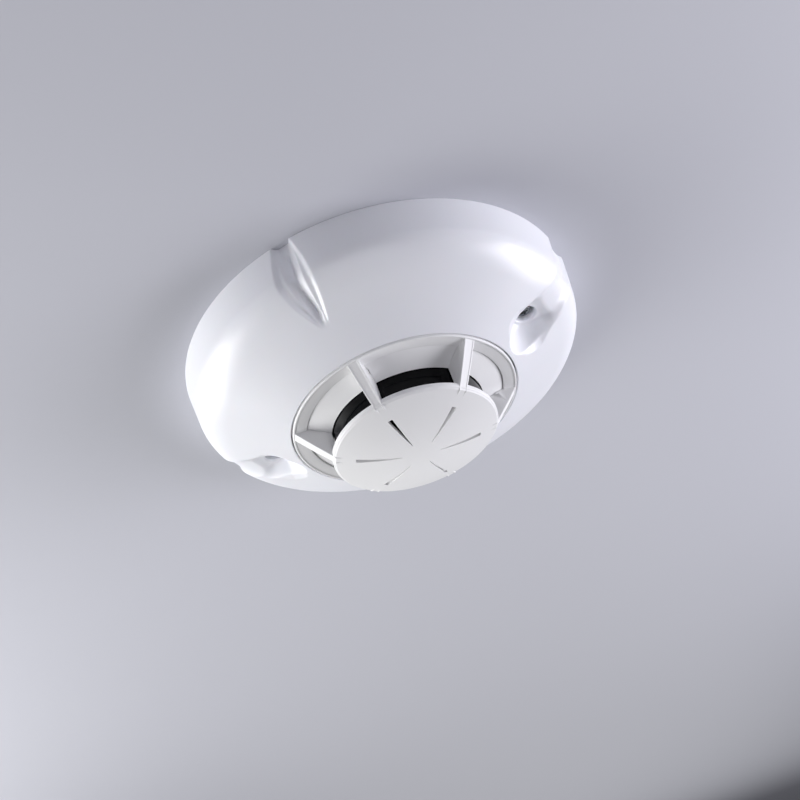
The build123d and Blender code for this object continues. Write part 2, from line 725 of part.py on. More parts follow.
with BuildPart() as head_cover:
    with BuildSketch(Plane.XZ):
        with BuildLine():
            Polyline(
                (HEAD_R, SKIRT_Z), (HEAD_R, RING_TOP), (RING_IN_R, RING_TOP),
                (RING_IN_R, RING_UNDER), (SKIRT_IN_R, RING_UNDER), (SKIRT_IN_R, SKIRT_Z),
                close=True,
            )
        make_face()
    revolve(axis=Axis.Z)
    fillet(head_cover.edges().group_by(Axis.Z)[-1].sort_by(SortBy.RADIUS)[-1], RING_ROUND)
    with BuildSketch(Plane.XZ):
        with BuildLine():
            arc_z = CAP_TOP - CAP_ARC_R
            top = CenterArc((0, arc_z), CAP_ARC_R, cap_edge_deg, 90 - cap_edge_deg)
            under = CenterArc((0, arc_z - CAP_T), CAP_ARC_R, cap_edge_deg, 90 - cap_edge_deg)
            Line(top @ 0, under @ 0)
            Line(top @ 1, under @ 1)
        make_face()
    revolve(axis=Axis.Z)
    fillet(head_cover.edges().filter_by(GeomType.CIRCLE).filter_by(
        lambda edge: abs(edge.radius - CAP_R) < 0.01 and edge.center().Z > cap_z(CAP_R) - 0.1), CAP_ROUND)
    with PolarLocations(0, RIB_COUNT, start_angle=RIB_START):
        add(head_rib.part)
    with PolarLocations(0, RIB_COUNT - 1, start_angle=RIB_START + 120, angular_range=300):
        add(cap_slot.part, mode=Mode.SUBTRACT)
    with PolarLocations(0, 1, start_angle=RIB_START + 60):
        add(light_slot.part, mode=Mode.SUBTRACT)
    with BuildSketch(Plane.XY.offset(PILLAR_Z)):
        with PolarLocations(PILLAR_AT, PILLAR_COUNT, start_angle=RIB_START):
            Circle(PILLAR_R)
    extrude(amount=deck_z(PILLAR_AT) + 1 - HOUSING_FLOOR)
    with BuildSketch(Plane.XY.offset(PILLAR_Z)):
        with PolarLocations(PILLAR_AT, PILLAR_COUNT, start_angle=RIB_START):
            Circle(PILLAR_PILOT_R)
    extrude(amount=PILLAR_PILOT_DEPTH, mode=Mode.SUBTRACT)
save(head_cover, "head_cover")

with BuildPart() as head_housing:
    with BuildSketch(Plane.XY.offset(HOUSING_Z)):
        Circle(HOUSING_R)
    extrude(amount=HOUSING_FLOOR - HOUSING_Z)
    with BuildSketch(Plane.XY.offset(HOUSING_FLOOR)):
        ring_sketch(HOUSING_R, HOUSING_IN_R)
    extrude(amount=HOUSING_TOP - HOUSING_FLOOR)
    with BuildSketch(Plane.XZ):
        with Locations((HOUSING_R, SEAL_Z)):
            Rectangle(*SEAL_GROOVE)
    revolve(axis=Axis.Z, mode=Mode.SUBTRACT)
    with BuildSketch(Plane.XY.offset(LUG_Z)):
        for hook in HOOK_ANGLES:
            sector_sketch(LUG_R, HOUSING_R - 0.5, hook, LUG_HALF_DEG)
    extrude(amount=LUG_T)
    with BuildSketch(Plane.XY.offset(HOUSING_FLOOR)):
        with PolarLocations(BOARD_POST_AT, 3, start_angle=90):
            Circle(2.2)
    extrude(amount=BOARD_Z - HOUSING_FLOOR)
    with BuildSketch(Plane.XY.offset(HOUSING_Z)):
        for angle in CONTACT_ANGLES:
            sector_sketch(CONTACT_R + SLIT_HALF, CONTACT_R - SLIT_HALF, angle, SLIT_HALF_DEG)
    extrude(amount=3, mode=Mode.SUBTRACT)
    with Locations(Plane.XY.offset(HOUSING_FLOOR)):
        with PolarLocations(PILLAR_AT, PILLAR_COUNT, start_angle=RIB_START):
            Hole(HEAD_SCREW_R + 0.2, 3)
save(head_housing, "head_housing")

with BuildPart() as vent_deck:
    with BuildSketch(Plane.XZ):
        with BuildLine():
            Polyline(
                (DECK_LIP_R, RING_UNDER - 0.1), (DECK_OUT_R, RING_UNDER - 0.1),
                (DECK_OUT_R, deck_z(DECK_OUT_R)), (DECK_IN_R, deck_z(DECK_IN_R)),
                (DECK_IN_R, deck_z(DECK_IN_R) - DECK_T), (DECK_FOOT_R, deck_z(DECK_FOOT_R) - DECK_T),
                (DECK_FOOT_R, DECK_FOOT_Z), (DECK_LIP_R, DECK_FOOT_Z), close=True,
            )
        make_face()
    revolve(axis=Axis.Z)
    with Locations(Plane.XY.offset(OPEN_TOP)):
        with PolarLocations(PILLAR_AT, PILLAR_COUNT, start_angle=RIB_START):
            Hole(PILLAR_R + 0.3, 10)
save(vent_deck, "vent_deck")

with BuildPart() as sensing_drum:
    with BuildSketch(Plane.XY.offset(DRUM_FOOT_Z)):
        Circle(DRUM_R)
    extrude(amount=DRUM_TOP - DRUM_FOOT_Z)
    with BuildSketch(Plane.XY.offset(DRUM_FOOT_Z)):
        Circle(DRUM_R - DRUM_WALL)
    extrude(amount=DRUM_TOP - DRUM_FOOT_Z - DRUM_WALL, mode=Mode.SUBTRACT)
    with Locations((0, 0, DRUM_TOP)):
        Hole(BEAD_HOLE_R, 4)
    with Locations((0, LIGHT_R, DRUM_TOP)):
        Hole(LIGHT_HOLE_R, 4)
    fillet(sensing_drum.edges().group_by(Axis.Z)[-1].sort_by(SortBy.RADIUS)[-1], DRUM_ROUND)
save(sensing_drum, "sensing_drum")

with BuildPart() as head_seal:
    with BuildSketch(Plane.XZ):
        with Locations((SEAL_AT, SEAL_Z)):
            Circle(SEAL_R)
    revolve(axis=Axis.Z)
save(head_seal, "head_seal")

with BuildPart() as head_screws:
    with BuildSketch(Plane.XY.offset(HOUSING_Z - HEAD_SCREW_HEAD_H)):
        with PolarLocations(PILLAR_AT, PILLAR_COUNT, start_angle=RIB_START):
            Circle(HEAD_SCREW_HEAD_R)
    extrude(amount=HEAD_SCREW_HEAD_H)
    with BuildSketch(Plane.XY.offset(HOUSING_Z)):
        with PolarLocations(PILLAR_AT, PILLAR_COUNT, start_angle=RIB_START):
            Circle(HEAD_SCREW_R)
    extrude(amount=HEAD_SCREW_L)
    with BuildSketch(Plane.XY.offset(HOUSING_Z - HEAD_SCREW_HEAD_H)):
        with PolarLocations(PILLAR_AT, PILLAR_COUNT, start_angle=RIB_START):
            cross_sketch(2.6, 0.6)
    extrude(amount=0.8, mode=Mode.SUBTRACT)
save(head_screws, "head_screws")

with BuildPart() as contact_blades:
    with BuildSketch(Plane.XY.offset(BLADE_Z)):
        for angle in CONTACT_ANGLES:
            sector_sketch(CONTACT_R + BLADE_HALF, CONTACT_R - BLADE_HALF, angle, BLADE_HALF_DEG)
    extrude(amount=HOUSING_Z - 0.1 - BLADE_Z)
    with BuildSketch(Plane.XY.offset(HOUSING_Z - 0.1)):
        for angle in CONTACT_ANGLES:
            sector_sketch(CONTACT_R + BLADE_HALF, CONTACT_R - BLADE_HALF, angle, TANG_HALF_DEG)
    extrude(amount=TANG_H)
save(contact_blades, "contact_blades")

with BuildPart() as rating_label:
    with BuildSketch(Plane.XY.offset(HOUSING_Z - LABEL_T)):
        Circle(LABEL_R)
    extrude(amount=LABEL_T)
save(rating_label, "rating_label")


# ---- Sensing head: electronics ----------------------------------------------------------------------

with BuildPart() as head_board:
    with BuildSketch(Plane.XY.offset(BOARD_Z)):
        Circle(BOARD_R)
        with PolarLocations(CONTACT_R, 4, start_angle=CONTACT_ANGLES[0]):
            Rectangle(*BOARD_NOTCH, mode=Mode.SUBTRACT)
        with GridLocations(LEAD_PITCH, 1, 2, 1):
            Circle(LEAD_R + 0.15, mode=Mode.SUBTRACT)
    extrude(amount=BOARD_T)
save(head_board, "head_board")

with BuildPart() as head_processor:
    with BuildSketch(Plane.XY.offset(HEAD_TOP)):
        with Locations(CHIP_AT):
            Rectangle(*CHIP_SIZE[:2])
    extrude(amount=CHIP_SIZE[2])
    chamfer(head_processor.edges().group_by(Axis.Z)[-1], 0.3)
save(head_processor, "head_processor")

with BuildPart() as head_capacitors:
    with BuildSketch(Plane.XY.offset(HEAD_TOP)):
        with Locations(*HEAD_CANS):
            Circle(HEAD_CAN_R)
    extrude(amount=HEAD_CAN_H)
    fillet(head_capacitors.edges().group_by(Axis.Z)[-1], 0.4)
save(head_capacitors, "head_capacitors")

with BuildPart() as head_resistors:
    with BuildSketch(Plane.XY.offset(HEAD_TOP)):
        with Locations(RESISTOR_AT):
            with GridLocations(*RESISTOR_PITCH, 3, 4):
                Rectangle(*RESISTOR_SIZE[:2])
    extrude(amount=RESISTOR_SIZE[2])
save(head_resistors, "head_resistors")

with BuildPart() as indicator_led:
    with BuildSketch(Plane.XY.offset(HEAD_TOP)):
        with Locations((0, LIGHT_R)):
            Rectangle(*LED_SIZE[:2])
    extrude(amount=LED_SIZE[2])
save(indicator_led, "indicator_led")

with BuildPart() as light_guide:
    half_x, half_y = GUIDE_HALF
    with BuildSketch(Plane.XY.offset(GUIDE_Z)):
        with Locations((0, LIGHT_R)):
            Polygon((0, -half_y), (half_x, 0), (0, half_y), (-half_x, 0), align=None)
    extrude(amount=cap_z(LIGHT_R) - GUIDE_SINK - GUIDE_Z)
save(light_guide, "light_guide")

with BuildPart() as thermistor_leads:
    with BuildSketch(Plane.XY.offset(LEAD_Z)):
        with GridLocations(LEAD_PITCH, 1, 2, 1):
            Circle(LEAD_R)
    extrude(amount=LEAD_L)
save(thermistor_leads, "thermistor_leads")

with BuildPart() as thermistor_bead:
    with Locations((0, 0, BEAD_Z)):
        Sphere(BEAD_R)
    with BuildSketch(Plane.XY.offset(LEAD_Z)):
        with GridLocations(LEAD_PITCH, 1, 2, 1):
            Circle(LEAD_R)
    extrude(amount=LEAD_L, mode=Mode.SUBTRACT)
save(thermistor_bead, "thermistor_bead")


# ---- Wires from the isolator board to the socket's terminals ---------------------------------------

def link_wire(offset, angle):
    """One insulated wire from the terminal block, under the socket and up to a terminal."""
    start = Vector(51.0, offset, BASE_TOP + 2.8).rotate(Axis.Z, BASE_BOARD_DEG)
    under = Vector(44.0, offset, WIRE_LANE_Z).rotate(Axis.Z, BASE_BOARD_DEG)
    inward = Vector(24.0, offset * 0.6, WIRE_LANE_Z).rotate(Axis.Z, BASE_BOARD_DEG)
    bend = Vector(19.5, 0, 12.5).rotate(Axis.Z, angle)
    end = Vector(23.4, 0, 16.6).rotate(Axis.Z, angle)
    with BuildPart() as wire:
        with BuildLine() as path:
            Spline(start, under, inward, bend, end)
        with BuildSketch(path.line ^ 0):
            Circle(WIRE_R)
        sweep()
    return wire


wires = [link_wire(offset, angle) for offset, angle in WIRE_RUNS]
with BuildPart() as link_wires:
    for wire in wires:
        add(wire.part)
save(link_wires, "link_wires")
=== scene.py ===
import logging
import math
from dataclasses import dataclass, field
from enum import Enum

import bpy
import numpy as np
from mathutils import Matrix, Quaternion, Vector


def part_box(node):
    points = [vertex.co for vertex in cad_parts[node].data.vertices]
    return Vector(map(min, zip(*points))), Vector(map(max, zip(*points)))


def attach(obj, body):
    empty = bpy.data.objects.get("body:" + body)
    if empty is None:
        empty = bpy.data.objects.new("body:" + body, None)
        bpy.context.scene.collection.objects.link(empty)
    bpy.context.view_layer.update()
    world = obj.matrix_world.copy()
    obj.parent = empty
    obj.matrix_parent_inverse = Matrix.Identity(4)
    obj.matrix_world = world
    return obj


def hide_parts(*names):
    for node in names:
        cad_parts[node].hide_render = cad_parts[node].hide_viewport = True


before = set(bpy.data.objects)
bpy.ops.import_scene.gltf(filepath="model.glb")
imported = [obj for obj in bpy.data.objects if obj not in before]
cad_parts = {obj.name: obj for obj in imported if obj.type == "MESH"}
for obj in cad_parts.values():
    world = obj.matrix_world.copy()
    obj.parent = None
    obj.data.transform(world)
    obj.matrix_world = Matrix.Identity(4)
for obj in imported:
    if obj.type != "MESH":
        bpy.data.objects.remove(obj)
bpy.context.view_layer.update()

MM = 0.001
log = logging.getLogger("heat_detector")


# ---- Shared helpers ------------------------------------------------------------------------------

def node_box(node: str) -> tuple[np.ndarray, np.ndarray]:
    """Box of a CAD node in millimetres.

    Args:
        node: name of the CAD node.

    Returns:
        The lowest and the highest corner.
    """
    low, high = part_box(node)
    return np.array(low) / MM, np.array(high) / MM


def linear(hex_colour: str) -> tuple[float, float, float, float]:
    """Linear colour of an sRGB hex value.

    Args:
        hex_colour: six hex digits, with or without a leading hash.

    Returns:
        Red, green, blue and alpha in linear light.
    """
    digits = hex_colour.lstrip("#")
    parts = [int(digits[i:i + 2], 16) / 255 for i in (0, 2, 4)]
    light = [p / 12.92 if p <= 0.04045 else ((p + 0.055) / 1.055) ** 2.4 for p in parts]
    return (*light, 1.0)


def smoothstep(start: float, end: float, value: np.ndarray) -> np.ndarray:
    """Smooth ramp from 0 at start to 1 at end.

    Args:
        start: value where the ramp is 0.
        end: value where the ramp is 1; it may be below start.
        value: the numbers to ramp.

    Returns:
        The ramp at each value.
    """
    t = np.clip((value - start) / (end - start), 0, 1)
    return t * t * (3 - 2 * t)


def arc(centre: tuple[float, float], radius: float, start: float, end: float,
        steps: int = 6) -> list[tuple[float, float]]:
    """Points on a circular arc in the (r, z) plane.

    Args:
        centre: centre of the arc.
        radius: radius of the arc.
        start: first angle in degrees, from the r axis towards z.
        end: last angle in degrees.
        steps: number of spans along the arc.

    Returns:
        The arc's points, ends included.
    """
    angles = np.radians(np.linspace(start, end, steps + 1))
    return [(centre[0] + radius * math.cos(a), centre[1] + radius * math.sin(a)) for a in angles]


def add_mesh(name: str, points: np.ndarray, faces: list[tuple[int, ...]],
             sharp_deg: float = 32.0) -> bpy.types.Object:
    """Object from points in millimetres, smooth except along edges sharper than an angle.

    Args:
        name: object name.
        points: vertex positions in millimetres.
        faces: vertex numbers of each face.
        sharp_deg: edges that turn more than this stay sharp.

    Returns:
        The new object, linked to the scene.
    """
    mesh = bpy.data.meshes.new(name)
    mesh.from_pydata((np.asarray(points) * MM).tolist(), [], faces)
    mesh.validate()
    piece = bpy.data.objects.new(name, mesh)
    bpy.context.scene.collection.objects.link(piece)
    shade(piece, sharp_deg)
    return piece


def shade(piece: bpy.types.Object, sharp_deg: float) -> None:
    """Smooth shading with sharp edges kept.

    Args:
        piece: the mesh object.
        sharp_deg: edges that turn more than this stay sharp.
    """
    piece.data.shade_smooth()
    piece.data.set_sharp_from_angle(angle=math.radians(sharp_deg))


def ring_faces(rows: int, columns: int) -> list[tuple[int, ...]]:
    """Quads of a closed tube of rows, each row a closed loop of columns.

    Args:
        rows: number of rows, the last joined to the first.
        columns: points in each row.

    Returns:
        Vertex numbers of each quad.
    """
    faces = []
    for i in range(rows):
        a, b = i * columns, (i + 1) % rows * columns
        for j in range(columns):
            k = (j + 1) % columns
            faces.append((a + j, a + k, b + k, b + j))
    return faces


def lathe(name: str, profile: list[tuple[float, float]], steps: int = 192,
          centre: tuple[float, float] = (0.0, 0.0)) -> bpy.types.Object:
    """Closed solid turned from an outline that runs anticlockwise in the (r, z) plane.

    Args:
        name: object name.
        profile: outline points; the first and the last may lie on the axis.
        steps: divisions round the axis.
        centre: where the axis stands in x and y.

    Returns:
        The new object.
    """
    turns = np.linspace(0, 2 * math.pi, steps, endpoint=False)
    points, rows, faces = [], [], []
    for r, z in profile:
        if r < 1e-6:
            rows.append([len(points)])
            points.append((centre[0], centre[1], z))
            continue
        rows.append(list(range(len(points), len(points) + steps)))
        points += [(centre[0] + r * math.cos(a), centre[1] + r * math.sin(a), z) for a in turns]
    pairs = list(zip(rows, rows[1:]))
    if len(rows[0]) > 1:
        pairs.append((rows[-1], rows[0]))
    for low, high in pairs:
        for j in range(steps):
            k = (j + 1) % steps
            if len(low) == 1:
                faces.append((low[0], high[k], high[j]))
            elif len(high) == 1:
                faces.append((low[j], low[k], high[0]))
            else:
                faces.append((low[j], low[k], high[k], high[j]))
    return add_mesh(name, np.array(points), faces)


def loft(name: str, sections: list[np.ndarray]) -> bpy.types.Object:
    """Closed solid through sections that have the same number of points.

    Args:
        name: object name.
        sections: each an array of points, in order along the solid.

    Returns:
        The new object.
    """
    count = len(sections[0])
    faces = []
    for i in range(len(sections) - 1):
        a, b = i * count, (i + 1) * count
        for j in range(count):
            k = (j + 1) % count
            faces.append((a + j, a + k, b + k, b + j))
    faces.append(tuple(reversed(range(count))))
    last = (len(sections) - 1) * count
    faces.append(tuple(range(last, last + count)))
    return add_mesh(name, np.concatenate(sections), faces)


class Cut(Enum):
    """How one solid changes another."""

    UNION = "UNION"
    DIFFERENCE = "DIFFERENCE"


def combine(piece: bpy.types.Object, tools: list[bpy.types.Object], how: Cut) -> None:
    """Joins tool solids to a piece or cuts them from it, and removes the tools.

    Args:
        piece: the solid that is changed.
        tools: the solids that change it.
        how: union or difference.
    """
    for tool in tools:
        change = piece.modifiers.new("combine", "BOOLEAN")
        change.operation = how.value
        change.solver = "EXACT"
        change.object = tool
        bpy.context.view_layer.update()
        graph = bpy.context.evaluated_depsgraph_get()
        result = bpy.data.meshes.new_from_object(piece.evaluated_get(graph))
        piece.modifiers.clear()
        old = piece.data
        piece.data = result
        bpy.data.meshes.remove(old)
        bpy.data.objects.remove(tool)


# ---- Finishes --------------------------------------------------------------------------------------

def add_node(tree: bpy.types.NodeTree, kind: str, settings: dict | None = None,
             **links: bpy.types.NodeSocket) -> bpy.types.Node:
    """Adds one shader node, sets it up and links its inputs.

    Args:
        tree: the material's node tree.
        kind: the node's type name.
        settings: attribute or input values by name.
        links: sockets that feed the inputs; an underscore in a name stands for a space.

    Returns:
        The new node.
    """
    made = tree.nodes.new(kind)
    for key, value in (settings or {}).items():
        if hasattr(made, key):
            setattr(made, key, value)
        else:
            made.inputs[key].default_value = value
    for key, source in links.items():
        tree.links.new(source, made.inputs[key.replace("_", " ")])
    return made


@dataclass(frozen=True)
class Finish:
    """Principled surface whose tone, roughness and relief vary with noise of a real size."""

    name: str
    colour: str
    tone: str
    roughness: float
    rough_spread: float = 0.05
    metallic: float = 0.0
    ior: float = 1.5
    cloud_mm: float = 18.0
    grain_mm: float = 0.6
    relief_mm: float = 0.01
    coat: float = 0.0
    coat_rough: float = 0.1
    stretch: tuple[float, float, float] = (1.0, 1.0, 1.0)
    subsurface: float = 0.0
    transmission: float = 0.0

    def material(self) -> bpy.types.Material:
        """Builds the node material once and returns it after that.

        Returns:
            The material.
        """
        found = bpy.data.materials.get(self.name)
        if found:
            return found
        made = bpy.data.materials.new(self.name)
        made.use_nodes = True
        tree = made.node_tree
        shader = tree.nodes["Principled BSDF"]
        shader.inputs["Metallic"].default_value = self.metallic
        if self.metallic < 0.5:
            shader.inputs["IOR"].default_value = self.ior
        shader.inputs["Coat Weight"].default_value = self.coat
        shader.inputs["Coat Roughness"].default_value = self.coat_rough
        shader.inputs["Transmission Weight"].default_value = self.transmission
        shader.inputs["Subsurface Weight"].default_value = self.subsurface
        shader.inputs["Subsurface Scale"].default_value = 0.8 * MM
        place = add_node(tree, "ShaderNodeTexCoord").outputs["Object"]
        pull = add_node(tree, "ShaderNodeMapping", {"Scale": self.stretch}, Vector=place).outputs[0]
        cloud = self.noise(tree, pull, self.cloud_mm, 3.0)
        grain = self.noise(tree, pull, self.grain_mm, 4.0)
        self.paint(tree, shader, cloud, grain, pull)
        rough = add_node(tree, "ShaderNodeMapRange", {
            "To Min": self.roughness - self.rough_spread, "To Max": self.roughness + self.rough_spread,
        }, Value=grain).outputs[0]
        tree.links.new(rough, shader.inputs["Roughness"])
        self.relief(tree, shader, grain, pull)
        return made

    def noise(self, tree: bpy.types.NodeTree, place: bpy.types.NodeSocket, size_mm: float,
              detail: float) -> bpy.types.NodeSocket:
        """Noise whose patches are about size_mm across.

        Args:
            tree: the material's node tree.
            place: the coordinates to read.
            size_mm: patch size in millimetres.
            detail: octaves of finer noise.

        Returns:
            The noise value's socket.
        """
        settings = {"Scale": 1 / (size_mm * MM), "Detail": detail, "Roughness": 0.55}
        return add_node(tree, "ShaderNodeTexNoise", settings, Vector=place).outputs[0]

    def paint(self, tree: bpy.types.NodeTree, shader: bpy.types.Node, cloud: bpy.types.NodeSocket,
              grain: bpy.types.NodeSocket, place: bpy.types.NodeSocket) -> None:
        """Links the base colour, a slow drift between two close tones.

        Args:
            tree: the material's node tree.
            shader: the surface shader.
            cloud: slow noise.
            grain: fine noise.
            place: coordinates, for finishes that draw a pattern.
        """
        blend = add_node(tree, "ShaderNodeMix", {"data_type": "RGBA"})
        tree.links.new(cloud, blend.inputs[0])
        blend.inputs[6].default_value = linear(self.colour)
        blend.inputs[7].default_value = linear(self.tone)
        tree.links.new(blend.outputs[2], shader.inputs["Base Color"])

    def relief(self, tree: bpy.types.NodeTree, shader: bpy.types.Node, grain: bpy.types.NodeSocket,
               place: bpy.types.NodeSocket) -> None:
        """Links the surface relief.

        Args:
            tree: the material's node tree.
            shader: the surface shader.
            grain: fine noise.
            place: coordinates, for finishes that draw a pattern.
        """
        bump = add_node(tree, "ShaderNodeBump", {"Strength": 1.0, "Distance": self.relief_mm * MM},
                        Height=grain)
        tree.links.new(bump.outputs[0], shader.inputs["Normal"])


@dataclass(frozen=True)
class BoardFinish(Finish):
    """Glass-epoxy board: green solder mask with slightly raised, lighter tracks."""

    track_mm: float = 2.4

    def tracks(self, tree: bpy.types.NodeTree, place: bpy.types.NodeSocket) -> bpy.types.NodeSocket:
        """Mask that is 1 on the tracks and 0 between them.

        Args:
            tree: the material's node tree.
            place: the coordinates to read.

        Returns:
            The mask's socket.
        """
        cells = add_node(tree, "ShaderNodeTexBrick", {
            "Scale": 1.0, "Mortar Size": 0.22 * MM, "Brick Width": self.track_mm * 3 * MM,
            "Row Height": self.track_mm * MM, "Mortar Smooth": 0.3,
        }, Vector=place)
        return cells.outputs[1]

    def paint(self, tree: bpy.types.NodeTree, shader: bpy.types.Node, cloud: bpy.types.NodeSocket,
              grain: bpy.types.NodeSocket, place: bpy.types.NodeSocket) -> None:
        """Links dark mask green between the tracks and lighter green over them.

        Args:
            tree: the material's node tree.
            shader: the surface shader.
            cloud: slow noise.
            grain: fine noise.
            place: coordinates of the track pattern.
        """
        blend = add_node(tree, "ShaderNodeMix", {"data_type": "RGBA"})
        tree.links.new(self.tracks(tree, place), blend.inputs[0])
        blend.inputs[6].default_value = linear(self.colour)
        blend.inputs[7].default_value = linear(self.tone)
        tree.links.new(blend.outputs[2], shader.inputs["Base Color"])

    def relief(self, tree: bpy.types.NodeTree, shader: bpy.types.Node, grain: bpy.types.NodeSocket,
               place: bpy.types.NodeSocket) -> None:
        """Raises the tracks under the mask.

        Args:
            tree: the material's node tree.
            shader: the surface shader.
            grain: fine noise.
            place: coordinates of the track pattern.
        """
        bump = add_node(tree, "ShaderNodeBump", {"Strength": 1.0, "Distance": self.relief_mm * MM},
                        Height=self.tracks(tree, place))
        tree.links.new(bump.outputs[0], shader.inputs["Normal"])


# ABS with a fine spark-eroded texture: a soft broad sheen and no hard reflections.
COVER_ABS = Finish("abs_satin_cool_white", "#f1f2f6", "#edeef3", 0.3, 0.04, grain_mm=0.7,
                   relief_mm=0.004, ior=1.53, subsurface=0.03)
# The same ABS from a finer, duller tool: a drier, slightly warmer white.
HEAD_ABS = Finish("abs_matt_warm_white", "#efeff0", "#ebebea", 0.46, 0.05, grain_mm=0.5,
                  relief_mm=0.005, ior=1.53)
# ABS behind the cover, left plain from the tool.
PLATE_ABS = Finish("abs_plain_white", "#e3e3e0", "#dcdcd8", 0.5, 0.06, grain_mm=0.8, relief_mm=0.008)
# Glass-filled PBT: a greyer white with a dry, slightly mottled skin.
SOCKET_PBT = Finish("pbt_moulded_white", "#dedfdc", "#d3d4d0", 0.55, 0.08, cloud_mm=6, grain_mm=0.4,
                    relief_mm=0.012)
# Polished polycarbonate: near-black with clear reflections of the room.
DRUM_PC = Finish("polycarbonate_polished_black", "#020304", "#040508", 0.07, 0.02, ior=1.22,
                 grain_mm=1.5, relief_mm=0.001)
# Passivated steel, turned: grey with fine rings of scratches.
SCREW_STEEL = Finish("steel_passivated", "#8f9296", "#7a7d82", 0.3, 0.1, 1.0, cloud_mm=1.5,
                     grain_mm=0.15, relief_mm=0.006, stretch=(1, 1, 6))
# Zinc-plated steel: brighter, faintly blue-grey and cloudy.
ZINC_STEEL = Finish("steel_zinc_plated", "#c3c7cb", "#aeb3b8", 0.28, 0.1, 1.0, cloud_mm=2,
                    grain_mm=0.25, relief_mm=0.004)
# Turned brass with a slight tarnish.
BRASS = Finish("brass_turned", "#d9b25c", "#b98f3e", 0.27, 0.08, 1.0, cloud_mm=2, grain_mm=0.2,
               relief_mm=0.006, stretch=(1, 1, 5))
# Stamped phosphor bronze: rolled grain along the strip.
BRONZE = Finish("phosphor_bronze_stamped", "#c79a6b", "#b07f50", 0.3, 0.08, 1.0, cloud_mm=3,
                grain_mm=0.3, relief_mm=0.004, stretch=(6, 1, 1))
# Moulded nitrile rubber: black, dull and slightly dusty.
RUBBER = Finish("nitrile_rubber_moulded", "#17181a", "#232427", 0.75, 0.08, cloud_mm=4, grain_mm=0.3,
                relief_mm=0.02)
# Glass-epoxy board under green solder mask.
BOARD = BoardFinish("glass_epoxy_solder_mask", "#0f4a2c", "#2f7d4f", 0.28, 0.05, grain_mm=0.5,
                    relief_mm=0.05, coat=0.3)
# Moulded polyamide terminal block in green.
POLYAMIDE = Finish("polyamide_moulded_green", "#2c7f45", "#256f3c", 0.45, 0.06, cloud_mm=3,
                   grain_mm=0.4, relief_mm=0.01)
# Transfer-moulded epoxy: dark grey with a dry, sugary skin.
CHIP_EPOXY = Finish("epoxy_moulded_black", "#1b1c1f", "#26272b", 0.55, 0.08, cloud_mm=2, grain_mm=0.15,
                    relief_mm=0.01)
# Drawn aluminium can.
CAN = Finish("aluminium_drawn", "#c9ccd1", "#b8bbc1", 0.3, 0.07, 1.0, cloud_mm=3, grain_mm=0.2,
             relief_mm=0.003, stretch=(4, 4, 1))
# Extruded PVC insulation in red, slightly waxy.
WIRE_PVC = Finish("pvc_extruded_red", "#a3221c", "#8f1c17", 0.38, 0.05, cloud_mm=3, grain_mm=0.5,
                  relief_mm=0.006)
# Blank matt polyester label.
LABEL = Finish("polyester_blank_label", "#d5d6d4", "#cccdca", 0.5, 0.05, cloud_mm=5, grain_mm=0.4,
               relief_mm=0.003)
# Clear cast epoxy of the lamp.
LAMP = Finish("epoxy_cast_clear", "#e8e6da", "#dedcd0", 0.12, 0.03, grain_mm=0.6, relief_mm=0.002,
              transmission=0.6)
# Smoked polycarbonate light pipe: dark grey until the lamp behind it is lit.
LIGHT_PIPE = Finish("polycarbonate_smoked", "#232428", "#1a1b1f", 0.2, 0.03, grain_mm=0.5,
                    relief_mm=0.002, ior=1.585)
# Dipped epoxy bead of the thermistor.
BEAD = Finish("epoxy_dipped_black", "#141416", "#1e1d20", 0.18, 0.04, cloud_mm=1, grain_mm=0.4,
              relief_mm=0.01, coat=0.3)


def dress(piece: bpy.types.Object, finish: Finish) -> None:
    """Gives every face of a piece one finish.

    Args:
        piece: the mesh object.
        finish: the surface it gets.
    """
    if not piece.material_slots:
        piece.data.materials.append(finish.material())
    for place in piece.material_slots:
        place.material = finish.material()


# ---- Base cover ------------------------------------------------------------------------------------

